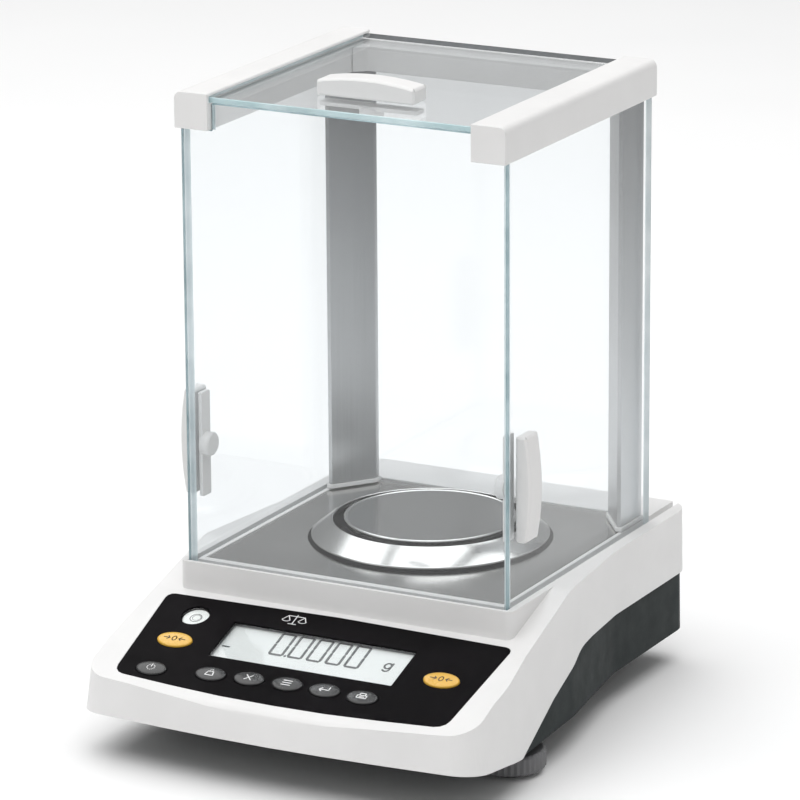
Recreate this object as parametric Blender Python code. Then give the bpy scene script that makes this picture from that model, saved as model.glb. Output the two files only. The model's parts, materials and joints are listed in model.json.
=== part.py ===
"""Analytical balance with a glass draft shield, built as an assembly of separate pieces.

Frame: metres, +X to the right seen from the front, +Y to the back, +Z up.
The origin is the middle of the outline on the surface that the balance stands on.
"""
import math

import bmesh
import bpy
from mathutils import Matrix, Vector

MM = 0.001
GAP = 0.3 * MM                 # clearance between neighbouring pieces

# ---- driving dimensions -------------------------------------------------------------------
BASE_FRONT = -144 * MM         # foremost point of the base
BASE_REAR = 144 * MM
RIM_Z = 84 * MM                # top of the base, where the draft shield stands
FRONT_FACE_FOOT_Z = 24.5 * MM  # lower edge of the front face
WALL = 2.5 * MM                # housing wall
TOP_WALL = 5.5 * MM            # thicker top wall, with the door grooves in it

RISER_HALF_WIDTH = 95 * MM     # box under the weighing chamber
RISER_FRONT = -61.5 * MM
RISER_WALL_HEIGHT = 15 * MM    # from the rim down to the sloping front

SLOPE_ANGLE = math.radians(18.5)
SLOPE_TOP_Z = RIM_Z - RISER_WALL_HEIGHT
SHOULDER_Y = RISER_FRONT + RISER_WALL_HEIGHT / math.tan(SLOPE_ANGLE)

LOWER_HOUSING_Z = 18 * MM      # underside of the lower housing
UNDERSIDE_BEND_Y = -86 * MM    # forward of this the underside rises to the front face
LOWER_FLOOR = 2.5 * MM

PAN_Y = 34 * MM
PAN_RADIUS = 45 * MM
PAN_TOP_Z = RIM_Z + 11 * MM
RING_INNER_RADIUS = 50.4 * MM
RING_OUTER_RADIUS = 62 * MM
RING_TOP_Z = RIM_Z + 9.5 * MM
RING_LOW_Z = RIM_Z + 1.2 * MM
RING_SHEET = 0.9 * MM
FLOOR_HOLE_RADIUS = 63.6 * MM

FLOOR_PLATE_HALF_WIDTH = 85 * MM
FLOOR_PLATE_FRONT = -51 * MM
FLOOR_PLATE_REAR = 112 * MM
FLOOR_PLATE_THICKNESS = 1.2 * MM
FLOOR_PLATE_TOP = RIM_Z - 0.5 * MM
LEDGE_Z = FLOOR_PLATE_TOP - FLOOR_PLATE_THICKNESS - GAP
OPENING_HALF_WIDTH = 78 * MM   # opening in the housing for the chamber tray
OPENING_FRONT = -44 * MM
OPENING_REAR = 94 * MM

GLASS = 3.2 * MM
GLASS_OUTER_X = 91 * MM        # outer faces of the two side doors
FRONT_PANE_Y = -59 * MM        # outer face of the front pane
GROOVE_DEPTH = 3 * MM
DOOR_REAR = 106 * MM
REAR_PANE_Y = 103.5 * MM       # inner face of the rear pane

RAIL_INNER_X = 73.4 * MM
RAIL_OUTER_X = 92.5 * MM
RAIL_FRONT = -63 * MM
RAIL_REAR = 109 * MM
RAIL_LOW_Z = 311 * MM
RAIL_TOP_Z = 330 * MM
TOP_PANE_LOW_Z = 325 * MM
TOP_PANE_THICKNESS = 3 * MM
TOP_PANE_HALF_WIDTH = 77 * MM
TOP_PANE_FRONT = -60.4 * MM
TOP_PANE_REAR = 108 * MM

COLUMN_OUTLINE = (             # right-hand column seen from above
    (86.2 * MM, 82 * MM),
    (86.2 * MM, 106.8 * MM),
    (69 * MM, 106.8 * MM),
    (69 * MM, 102.5 * MM),
    (84 * MM, 82 * MM),
)
COLUMN_FOOT_Z = RIM_Z + GAP
COLUMN_LOW_Z = RIM_Z + 2.5 * MM
COLUMN_WALL = 1.2 * MM
COLUMN_LIP = 0.9 * MM          # how far the foot stands out round the column

HANDLE_LENGTH = 55 * MM
HANDLE_WIDTH = 14 * MM
HANDLE_BOW = 2.6 * MM          # how much further out its middle is than its ends
SIDE_HANDLE_REACH = 8.5 * MM   # how far the middle of a handle stands out from the glass
TOP_HANDLE_REACH = 10.5 * MM
HANDLE_EDGE = 1.2 * MM         # rounding of its edges
CLIP_WIDTH = 8.4 * MM          # strip inside the glass, and the round knob on it
CLIP_THICKNESS = 2 * MM
KNOB_RADIUS = 6.2 * MM
KNOB_HEIGHT = 4.2 * MM
SIDE_HANDLE_Y = -43.5 * MM
SIDE_CLIP_Y = -48.2 * MM
SIDE_HANDLE_Z = 144 * MM
TOP_HANDLE_Y = -27 * MM

PANEL_THICKNESS = 2.4 * MM
PANEL_PROUD = 0.2 * MM         # how far the panel stands above the sloping face
KEY_PROUD = 1.4 * MM
KEY_DEPTH = 3.2 * MM           # how far a key reaches below the sloping face
WINDOW_HALF_WIDTH = 52 * MM
WINDOW_TOP = 20 * MM           # distances down the slope from the riser's foot
WINDOW_FOOT = 49.2 * MM
LEVEL_X = -75 * MM
LEVEL_DOWN = 20 * MM
LEVEL_RADIUS = 7.4 * MM
TARE_KEY_SIZE = (19.5 * MM, 11.5 * MM)
SMALL_KEY_SIZE = (17 * MM, 10.5 * MM)
KEYS = {                       # name: (x, distance down the slope, size)
    "key_tare_left": (-75 * MM, 42 * MM, TARE_KEY_SIZE),
    "key_tare_right": (75 * MM, 39 * MM, TARE_KEY_SIZE),
    "key_power": (-75 * MM, 67 * MM, SMALL_KEY_SIZE),
    "key_calibrate": (-42.5 * MM, 63.8 * MM, SMALL_KEY_SIZE),
    "key_clear": (-21.2 * MM, 62.4 * MM, SMALL_KEY_SIZE),
    "key_menu": (0, 61.6 * MM, SMALL_KEY_SIZE),
    "key_enter": (21.2 * MM, 61.6 * MM, SMALL_KEY_SIZE),
    "key_print": (42.5 * MM, 62.2 * MM, SMALL_KEY_SIZE),
}

WHEEL_X = 92 * MM              # front levelling feet
WHEEL_Y = -59 * MM
WHEEL_RADIUS = 19 * MM
WHEEL_LOW_Z = 2.5 * MM
WHEEL_TOP_Z = 12.5 * MM
SPINDLE_RADIUS = 4 * MM
SPINDLE_TOP_Z = 34 * MM
PAD_RADIUS = 12 * MM
REAR_FOOT_X = 58 * MM
REAR_FOOT_Y = 118 * MM
REAR_FOOT_RADIUS = 9 * MM

SCREW_X = 91.5 * MM            # screws that join the two housings
SCREW_Y = 100 * MM
SCREW_RADIUS = 3.2 * MM
SCREW_SHANK = 1.4 * MM
SCREW_TOP_Z = 30 * MM

INLET_X = 62 * MM              # power inlet and data port in the rear wall
INLET_HALF = 7.5 * MM
SOCKET_RADIUS = 4.5 * MM
PORT_X = -52 * MM
PORT_HALF_WIDTH = 12 * MM
PORT_HALF_HEIGHT = 5 * MM
PORTS_Z = 33 * MM
PORT_OPENING_GROW = 0.5 * MM   # clearance of the ports in the rear wall
HOOK_HOLE_RADIUS = 7 * MM      # opening for weighing below the balance

STEM_RADIUS = 3.5 * MM         # weighing mechanism
RECEPTOR_HALF_WIDTH = 11 * MM
RECEPTOR_HALF_DEPTH = 8 * MM
RECEPTOR_LOW_Z = 26 * MM
CELL_LOW_Z = 23.8 * MM
CELL_TOP_Z = 62 * MM
CELL_FRAME_FRONT = 58 * MM
CELL_FRAME_REAR = 72 * MM
GUIDE_THICKNESS = 1.4 * MM
GUIDE_HALF_WIDTH = 14 * MM
LEVER_REAR = 112 * MM
LEVER_LOW_Z = 42 * MM
LEVER_TOP_Z = 47 * MM
COIL_Y = 98 * MM               # axis of the magnet pot and the coil
POT_RADIUS = 21 * MM
POT_WALL = 4 * MM
POT_CORE_RADIUS = 9 * MM
POT_FLOOR_Z = 28 * MM
POT_TOP_Z = 40 * MM
COIL_INNER_RADIUS = 10.5 * MM
COIL_OUTER_RADIUS = 15.5 * MM
COIL_LOW_Z = 30 * MM

ROUND_STEPS = 48               # facets of large round pieces
SMALL_STEPS = 24
OUTLINE_STEPS = 8              # facets round each corner of the base


# ---- materials ----------------------------------------------------------------------------
def material(name, colour, roughness, metallic=0.0, alpha=1.0):
    made = bpy.data.materials.new(name)
    made.use_nodes = True
    shader = made.node_tree.nodes["Principled BSDF"]
    shader.inputs["Base Color"].default_value = (*colour, 1.0)
    shader.inputs["Roughness"].default_value = roughness
    shader.inputs["Metallic"].default_value = metallic
    shader.inputs["Alpha"].default_value = alpha
    return made


def make_materials():
    return {
        "white": material("white_plastic", (0.86, 0.86, 0.85), 0.42),
        "dark": material("dark_plastic", (0.035, 0.045, 0.045), 0.5),
        "black": material("black_panel", (0.008, 0.007, 0.009), 0.3),
        "grey": material("grey_plastic", (0.2, 0.2, 0.21), 0.5),
        "key_grey": material("key_grey", (0.06, 0.06, 0.065), 0.35),
        "amber": material("key_amber", (0.9, 0.55, 0.12), 0.3),
        "lcd": material("display_glass", (0.72, 0.74, 0.72), 0.25),
        "lens": material("clear_lens", (0.95, 0.96, 0.96), 0.05, alpha=0.3),
        "glass": material("clear_glass", (0.9, 0.97, 0.96), 0.02, alpha=0.25),
        "steel": material("brushed_steel", (0.62, 0.62, 0.61), 0.3, 1.0),
        "aluminium": material("satin_aluminium", (0.6, 0.61, 0.62), 0.35, 1.0),
        "cast": material("cast_aluminium", (0.45, 0.45, 0.46), 0.55, 1.0),
        "board": material("circuit_board", (0.02, 0.16, 0.07), 0.5),
        "copper": material("copper_wire", (0.72, 0.35, 0.18), 0.4, 1.0),
        "magnet": material("magnet_iron", (0.25, 0.25, 0.27), 0.4, 1.0),
        "rubber": material("black_rubber", (0.03, 0.03, 0.03), 0.85),
    }


# ---- making solids ------------------------------------------------------------------------
def add_object(name, bm, finish, matrix=None):
    """Turn a bmesh into a named object with outward faces."""
    bmesh.ops.remove_doubles(bm, verts=bm.verts, dist=1e-7)
    bmesh.ops.recalc_face_normals(bm, faces=bm.faces)
    mesh = bpy.data.meshes.new(name)
    bm.to_mesh(mesh)
    bm.free()
    made = bpy.data.objects.new(name, mesh)
    bpy.context.scene.collection.objects.link(made)
    if finish is not None:
        mesh.materials.append(finish)
    if matrix is not None:
        made.matrix_world = matrix
    return made


def loft(name, rings, finish, matrix=None):
    """Solid whose side walls join rings of equal length, closed by flat caps."""
    bm = bmesh.new()
    loops = [[bm.verts.new(point) for point in ring] for ring in rings]
    count = len(rings[0])
    for lower, upper in zip(loops, loops[1:]):
        for i in range(count):
            j = (i + 1) % count
            bm.faces.new((lower[i], lower[j], upper[j], upper[i]))
    bm.faces.new(loops[0])
    bm.faces.new(loops[-1])
    return add_object(name, bm, finish, matrix)


def prism(name, outline, low, high, finish, axis="Z", matrix=None):
    """Extrude an outline. Its two numbers are (x, y), (x, z) for axis Y or (y, z) for axis X."""
    def place(point, level):
        a, b = point
        return {"Z": (a, b, level), "Y": (a, level, b), "X": (level, a, b)}[axis]
    rings = [[place(point, level) for point in outline] for level in (low, high)]
    return loft(name, rings, finish, matrix)


def rectangle(x_low, x_high, y_low, y_high):
    return [(x_low, y_low), (x_high, y_low), (x_high, y_high), (x_low, y_high)]


def box(name, low, high, finish, matrix=None):
    outline = rectangle(low[0], high[0], low[1], high[1])
    return prism(name, outline, low[2], high[2], finish, "Z", matrix)


def circle(centre, radius, steps=SMALL_STEPS):
    turn = 2 * math.pi / steps
    return [(centre[0] + radius * math.cos(i * turn), centre[1] + radius * math.sin(i * turn))
            for i in range(steps)]


def ellipse(centre, size, steps=SMALL_STEPS):
    turn = 2 * math.pi / steps
    return [(centre[0] + size[0] / 2 * math.cos(i * turn), centre[1] + size[1] / 2 * math.sin(i * turn))
            for i in range(steps)]


def fillet(corners, steps=4):
    """Round an outline's corners. Each corner is (a, b, radius); radius 0 stays sharp."""
    outline = []
    for i, (a, b, radius) in enumerate(corners):
        here = Vector((a, b))
        if radius == 0:
            outline.append((a, b))
            continue
        before = (Vector(corners[i - 1][:2]) - here).normalized()
        after = (Vector(corners[(i + 1) % len(corners)][:2]) - here).normalized()
        half_angle = before.angle(after) / 2
        centre = here + (before + after).normalized() * (radius / math.sin(half_angle))
        start = here + before * (radius / math.tan(half_angle)) - centre
        end = here + after * (radius / math.tan(half_angle)) - centre
        sweep = start.angle_signed(end)
        for k in range(steps + 1):
            point = start.copy()
            point.rotate(Matrix.Rotation(-sweep * k / steps, 2))
            outline.append(tuple(centre + point))
    return outline


def turned(name, profile, centre, finish, steps=ROUND_STEPS, matrix=None):
    """Turn a closed profile of (radius, height) about the vertical through centre."""
    bm = bmesh.new()
    rings = []
    for radius, height in profile:
        if radius < 1e-9:
            rings.append([bm.verts.new((centre[0], centre[1], height))])
        else:
            rings.append([bm.verts.new((x, y, height)) for x, y in circle(centre, radius, steps)])
    for ring, following in zip(rings, rings[1:] + rings[:1]):
        if len(ring) == 1 and len(following) == 1:
            continue
        for i in range(steps):
            j = (i + 1) % steps
            corners = []
            for vert in (ring[i % len(ring)], ring[j % len(ring)],
                         following[j % len(following)], following[i % len(following)]):
                if vert not in corners:
                    corners.append(vert)
            bm.faces.new(corners)
    made = add_object(name, bm, finish, matrix)
    made.data.shade_smooth()
    made.data.set_sharp_from_angle(angle=math.radians(30))
    return made


def disc(name, centre, radius, low, high, finish, steps=SMALL_STEPS):
    profile = ((0, low), (radius, low), (radius, high), (0, high))
    return turned(name, profile, centre, finish, steps)


def boolean(target, tools, operation="DIFFERENCE"):
    """Apply exact Booleans to a piece and remove the tools."""
    for tool in tools:
        modifier = target.modifiers.new("cut", "BOOLEAN")
        modifier.operation = operation
        modifier.solver = "EXACT"
        modifier.object = tool
    bpy.context.view_layer.update()
    depsgraph = bpy.context.evaluated_depsgraph_get()
    result = bpy.data.meshes.new_from_object(target.evaluated_get(depsgraph))
    target.modifiers.clear()
    target.data = result
    for tool in tools:
        bpy.data.objects.remove(tool)
    return target


def bevel(target, width, segments=2, angle=35):
    modifier = target.modifiers.new("rounding", "BEVEL")
    modifier.width = width
    modifier.segments = segments
    modifier.limit_method = "ANGLE"
    modifier.angle_limit = math.radians(angle)
    return target


# ---- base ---------------------------------------------------------------------------------
def base_outline(spread, inset=0.0):
    """Outline of the base seen from above; spread is how far the sides have leaned out, 0 to 1."""
    rear_x = (98 + spread) * MM - inset
    shoulder_x = (105.5 + 4 * spread) * MM - inset
    arm_x = (107 + 7 * spread) * MM - inset
    front_x = (104 + 9.5 * spread) * MM - inset
    front_y = BASE_FRONT + (1 - spread) * 1.5 * MM + inset
    corners = [
        (0, BASE_REAR - inset, 0),
        (rear_x, BASE_REAR - inset, 15 * MM - inset),
        (rear_x, 50 * MM, 60 * MM),
        (shoulder_x, -17 * MM, 60 * MM),
        (arm_x, -95 * MM, 60 * MM),
        (front_x, front_y + 8 * MM, 16 * MM - inset),
        (62 * MM, front_y + 3 * MM, 0),
        (31 * MM, front_y + 0.8 * MM, 0),
        (0, front_y, 0),
    ]
    closed = corners + [(-x, y, r) for x, y, r in reversed(corners) if x > 1e-6]
    return fillet(closed, OUTLINE_STEPS)


def base_form(name, low, high, inset=0.0):
    """Tapered block of the base's outline between two heights."""
    def ring(level):
        spread = (RIM_Z - level) / (RIM_Z - LOWER_HOUSING_Z)
        return [(x, y, level) for x, y in base_outline(spread, inset)]
    return loft(name, [ring(low), ring(high)], None)


LOWER_EDGE = (                 # side view of the upper housing's lower edge, rear to front
    (150 * MM, 50 * MM, 0),
    (-4 * MM, 50 * MM, 40 * MM),
    (UNDERSIDE_BEND_Y, LOWER_HOUSING_Z, 6 * MM),
)


def side_profile(drop, front_inset):
    """Side view (y, z) of the space between the lower edge and the top, lowered by drop."""
    front = BASE_FRONT + front_inset
    slope_front_z = SLOPE_TOP_Z - (RISER_FRONT - front) * math.tan(SLOPE_ANGLE) - drop
    top = RIM_Z - drop
    shoulder = SHOULDER_Y + (drop - drop / math.cos(SLOPE_ANGLE)) / math.tan(SLOPE_ANGLE)
    return [
        (front, slope_front_z, 8 * MM - front_inset),
        (shoulder, top, 25 * MM),
        (150 * MM, top, 0),
    ]


def make_upper_housing(finish):
    corners = side_profile(0, 0) + list(LOWER_EDGE) + [(BASE_FRONT, FRONT_FACE_FOOT_Z, 0)]
    side = prism("side", fillet(corners), -130 * MM, 130 * MM, None, "X")
    housing = base_form("upper_housing", 10 * MM, 90 * MM)
    boolean(housing, [side], "INTERSECT")
    riser_outline = fillet([
        (-RISER_HALF_WIDTH, RISER_FRONT, 4 * MM),
        (RISER_HALF_WIDTH, RISER_FRONT, 4 * MM),
        (RISER_HALF_WIDTH, 60 * MM, 0),
        (-RISER_HALF_WIDTH, 60 * MM, 0),
    ])
    riser = prism("riser", riser_outline, 55 * MM, RIM_Z, None)
    boolean(housing, [riser], "UNION")

    cavity = base_form("cavity", 5 * MM, 90 * MM, WALL)
    inner = side_profile(TOP_WALL, WALL)
    inner[0] = (inner[0][0], inner[0][1] + TOP_WALL - WALL / math.cos(SLOPE_ANGLE), inner[0][2])
    inner[1] = (SHOULDER_Y - 8 * MM, RIM_Z - TOP_WALL, 20 * MM)
    inner_corners = inner + [(150 * MM, 0, 0), (inner[0][0], 0, 0)]
    boolean(cavity, [prism("inner", fillet(inner_corners), -130 * MM, 130 * MM, None, "X")], "INTERSECT")
    x = RISER_HALF_WIDTH - WALL
    well = box("well", (-x, RISER_FRONT + WALL, 50 * MM), (x, 60 * MM, RIM_Z - TOP_WALL), None)
    boolean(housing, [cavity, well])
    cut_chamber_floor(housing)
    cut_panel_opening(housing)
    housing.data.materials.clear()
    housing.data.materials.append(finish)
    return housing


def cut_chamber_floor(housing):
    """Opening and ledge for the floor plate, and the grooves that hold the glass."""
    ledge = box(
        "ledge",
        (-FLOOR_PLATE_HALF_WIDTH - GAP, FLOOR_PLATE_FRONT - GAP, LEDGE_Z),
        (FLOOR_PLATE_HALF_WIDTH + GAP, FLOOR_PLATE_REAR + GAP, 90 * MM), None)
    opening = box("opening", (-OPENING_HALF_WIDTH, OPENING_FRONT, 70 * MM),
                  (OPENING_HALF_WIDTH, OPENING_REAR, 90 * MM), None)
    groove_low = RIM_Z - GROOVE_DEPTH
    front = box(
        "front_groove",
        (-GLASS_OUTER_X - GAP, FRONT_PANE_Y - GAP, groove_low),
        (GLASS_OUTER_X + GAP, FRONT_PANE_Y + GLASS + GAP, 90 * MM), None)
    tools = [ledge, opening, front]
    for side in (-1, 1):
        xs = sorted((side * (GLASS_OUTER_X + GAP), side * (GLASS_OUTER_X - GLASS - GAP)))
        tools.append(box("door_groove", (xs[0], FRONT_PANE_Y, groove_low),
                         (xs[1], 150 * MM, 90 * MM), None))
    boolean(housing, tools)


# ---- sloping front: panel, keys, display and level ------------------------------------------
def slope_matrix():
    """Frame on the sloping face: X right, Y up the slope, Z out of the face."""
    along = Vector((0, math.cos(SLOPE_ANGLE), math.sin(SLOPE_ANGLE)))
    out = Vector((0, -math.sin(SLOPE_ANGLE), math.cos(SLOPE_ANGLE)))
    matrix = Matrix.Identity(4)
    matrix.col[1] = (*along, 0)
    matrix.col[2] = (*out, 0)
    matrix.col[3] = (0, RISER_FRONT, SLOPE_TOP_Z, 1)
    return matrix


def panel_outline(grow=0.0):
    """Black panel: wider at the top, its lower edge bowed to the front."""
    top_x = 98.5 * MM + grow
    foot_x = 93.3 * MM + grow
    right = [
        (0, -3.5 * MM + grow, 0),
        (top_x, -5.5 * MM + grow, 4 * MM),
        (foot_x, -73.5 * MM - grow, 7 * MM),
        (60 * MM, -76.4 * MM - grow, 0),
        (30 * MM, -78.3 * MM - grow, 0),
        (0, -78.8 * MM - grow, 0),
    ]
    closed = right + [(-x, y, r) for x, y, r in reversed(right) if x > 1e-6]
    return fillet(closed, 3)


def cut_panel_opening(housing):
    tool = prism("panel_opening", panel_outline(GAP), -12 * MM, 5 * MM, None, "Z", slope_matrix())
    boolean(housing, [tool])


def make_panel(finish):
    panel = prism("control_panel", panel_outline(), PANEL_PROUD - PANEL_THICKNESS, PANEL_PROUD,
                  finish, "Z", slope_matrix())
    window = rectangle(-WINDOW_HALF_WIDTH, WINDOW_HALF_WIDTH, -WINDOW_FOOT, -WINDOW_TOP)
    outlines = [window, circle((LEVEL_X, -LEVEL_DOWN), LEVEL_RADIUS + GAP)]
    for x, down, size in KEYS.values():
        outlines.append(ellipse((x, -down), (size[0] + 2 * GAP, size[1] + 2 * GAP)))
    tools = [prism("hole", outline, -8 * MM, 8 * MM, None, "Z", slope_matrix()) for outline in outlines]
    return boolean(panel, tools)


def make_keys(finishes):
    for name, (x, down, size) in KEYS.items():
        finish = finishes["amber"] if "tare" in name else finishes["key_grey"]
        matrix = slope_matrix() @ Matrix.Translation((x, -down, 0))
        rim = [(a, b, -KEY_DEPTH) for a, b in ellipse((0, 0), size)]
        waist = [(a, b, KEY_PROUD - 0.6 * MM) for a, b in ellipse((0, 0), size)]
        crown = [(a, b, KEY_PROUD) for a, b in ellipse((0, 0), (size[0] - 2 * MM, size[1] - 2 * MM))]
        loft(name, [rim, waist, crown], finish, matrix)


def make_display(finishes):
    frame = slope_matrix()
    x = WINDOW_HALF_WIDTH - GAP
    box("display_window", (-x, -WINDOW_FOOT + GAP, -1.5 * MM), (x, -WINDOW_TOP - GAP, -0.4 * MM),
        finishes["lens"], frame)
    x = WINDOW_HALF_WIDTH + 2.5 * MM
    box("lcd_module", (-x, -WINDOW_FOOT - 2.5 * MM, -5.8 * MM), (x, -WINDOW_TOP + 5 * MM, -2.6 * MM),
        finishes["lcd"], frame)
    board = box("key_board", (-88 * MM, -74 * MM, -8 * MM), (88 * MM, -10 * MM, -6.4 * MM),
                finishes["board"], frame)
    seat = prism("seat", circle((LEVEL_X, -LEVEL_DOWN), 10.5 * MM), -10 * MM, 0, None, "Z", frame)
    boolean(board, [seat])
    matrix = frame @ Matrix.Translation((LEVEL_X, -LEVEL_DOWN, 0))
    turned("level_vial", ((0, -7 * MM), (LEVEL_RADIUS, -7 * MM), (LEVEL_RADIUS, -0.6 * MM),
                          (LEVEL_RADIUS - 1.2 * MM, 0.3 * MM), (0, 0.5 * MM)),
           (0, 0), finishes["lens"], SMALL_STEPS, matrix)
    inner = LEVEL_RADIUS + GAP
    turned("level_holder", ((0, -9 * MM), (9.6 * MM, -9 * MM), (9.6 * MM, -2.6 * MM),
                            (inner, -2.6 * MM), (inner, -7.3 * MM), (0, -7.3 * MM)),
           (0, 0), finishes["grey"], SMALL_STEPS, matrix)


# ---- lower housing, chassis and feet --------------------------------------------------------
def make_lower_housing(finish):
    """Dark tray: its side walls rise to the upper housing's lower edge."""
    inset = 1.5 * MM
    tray = base_form("lower_housing", LOWER_HOUSING_Z, 52 * MM, inset)
    corners = [(y, z - GAP, r) for y, z, r in LOWER_EDGE]
    corners[-1] = (UNDERSIDE_BEND_Y + 2 * MM, LOWER_HOUSING_Z + 0.3 * MM, 0)
    corners += [(corners[-1][0], 10 * MM, 0), (150 * MM, 10 * MM, 0)]
    side = prism("side", fillet(corners), -130 * MM, 130 * MM, None, "X")
    boolean(tray, [side], "INTERSECT")
    hollow = base_form("hollow", LOWER_HOUSING_Z + LOWER_FLOOR, 60 * MM, inset + WALL)
    boolean(tray, [hollow])
    tools = []
    for side_sign in (-1, 1):
        spot = (side_sign * WHEEL_X, WHEEL_Y)
        boss = disc("boss", spot, 8 * MM, LOWER_HOUSING_Z + 1 * MM, 30 * MM, None)
        boolean(tray, [boss], "UNION")
        tools.append(disc("thread", spot, SPINDLE_RADIUS + GAP, 5 * MM, 40 * MM, None))
        spot = (side_sign * SCREW_X, SCREW_Y)
        tools.append(disc("screw_hole", spot, SCREW_RADIUS + GAP, 5 * MM, 30 * MM, None, 16))
    tools.append(disc("hook_hole", (0, PAN_Y), HOOK_HOLE_RADIUS, 5 * MM, 30 * MM, None))
    for x, half_width, half_height in ((INLET_X, INLET_HALF, INLET_HALF),
                                       (PORT_X, PORT_HALF_WIDTH, PORT_HALF_HEIGHT)):
        half_width += PORT_OPENING_GROW
        half_height += PORT_OPENING_GROW
        tools.append(box("port_hole", (x - half_width, 130 * MM, PORTS_Z - half_height),
                         (x + half_width, 150 * MM, PORTS_Z + half_height), None))
    boolean(tray, tools)
    tray.data.materials.clear()
    tray.data.materials.append(finish)


def make_front_cover(finish):
    """Plate that closes the underside forward of the lower housing and rises to the front face."""
    cover = base_form("front_cover", 10 * MM, 50 * MM, WALL + GAP)
    low = LOWER_HOUSING_Z + GAP
    high = LOWER_HOUSING_Z + LOWER_FLOOR
    rise = FRONT_FACE_FOOT_Z - LOWER_HOUSING_Z
    rear = UNDERSIDE_BEND_Y + 2 * MM - GAP
    sheet = prism("sheet", [
        (rear, low), (rear, high), (UNDERSIDE_BEND_Y, high),
        (BASE_FRONT, high + rise), (BASE_FRONT, low + rise), (UNDERSIDE_BEND_Y, low),
    ], -130 * MM, 130 * MM, None, "X")
    boolean(cover, [sheet], "INTERSECT")
    cover.data.materials.clear()
    cover.data.materials.append(finish)


def make_housing_screws(finish):
    """Screws under the base that pull the two housings together."""
    low = LOWER_HOUSING_Z + 0.2 * MM
    head = low + 2.2 * MM
    for side, name in ((-1, "left"), (1, "right")):
        turned("housing_screw_" + name,
               ((0, low), (SCREW_RADIUS, low), (SCREW_RADIUS, head),
                (SCREW_SHANK, head), (SCREW_SHANK, SCREW_TOP_Z), (0, SCREW_TOP_Z)),
               (side * SCREW_X, SCREW_Y), finish, 16)


def make_chassis(finish):
    """Cast plate that carries the weigh cell and the columns."""
    low = LOWER_HOUSING_Z + LOWER_FLOOR + GAP
    outline = fillet([
        (-87 * MM, -30 * MM, 6 * MM), (87 * MM, -30 * MM, 6 * MM),
        (87 * MM, 132 * MM, 8 * MM), (-87 * MM, 132 * MM, 8 * MM),
    ])
    plate = prism("chassis", outline, low, 23.5 * MM, finish)
    boolean(plate, [disc("hook_hole", (0, PAN_Y), HOOK_HOLE_RADIUS, 10 * MM, 40 * MM, None)])


def make_feet(finishes):
    for side, name in ((-1, "left"), (1, "right")):
        spot = (side * WHEEL_X, WHEEL_Y)
        make_wheel("levelling_wheel_" + name, spot, finishes["grey"])
        turned("foot_pad_" + name,
               ((0, 0), (PAD_RADIUS - 0.8 * MM, 0), (PAD_RADIUS, 0.8 * MM),
                (PAD_RADIUS, WHEEL_LOW_Z - GAP), (0, WHEEL_LOW_Z - GAP)),
               spot, finishes["rubber"], SMALL_STEPS)
        turned("rear_foot_" + name,
               ((0, 0), (REAR_FOOT_RADIUS - 1 * MM, 0), (REAR_FOOT_RADIUS, 1 * MM),
                (REAR_FOOT_RADIUS + 1.5 * MM, LOWER_HOUSING_Z - GAP), (0, LOWER_HOUSING_Z - GAP)),
               (side * REAR_FOOT_X, REAR_FOOT_Y), finishes["rubber"], SMALL_STEPS)


def make_wheel(name, spot, finish):
    """Knurled wheel with its threaded spindle; its origin is on the spindle's axis."""
    ribs = 36
    rings = []
    for level, shrink in ((WHEEL_LOW_Z, 1.2), (WHEEL_LOW_Z + 1.2 * MM, 0), (WHEEL_TOP_Z - 1.2 * MM, 0),
                          (WHEEL_TOP_Z, 1.2)):
        ring = []
        for i in range(2 * ribs):
            angle = math.pi * i / ribs
            radius = WHEEL_RADIUS - shrink * MM - (0.9 * MM if i % 2 else 0)
            ring.append((radius * math.cos(angle), radius * math.sin(angle), level))
        rings.append(ring)
    wheel = loft(name, rings, finish)
    spindle = disc("spindle", (0, 0), SPINDLE_RADIUS, WHEEL_TOP_Z - 1 * MM, SPINDLE_TOP_Z, None, 20)
    boolean(wheel, [spindle], "UNION")
    wheel.data.materials.clear()
    wheel.data.materials.append(finish)
    wheel.location = (spot[0], spot[1], 0)


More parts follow.
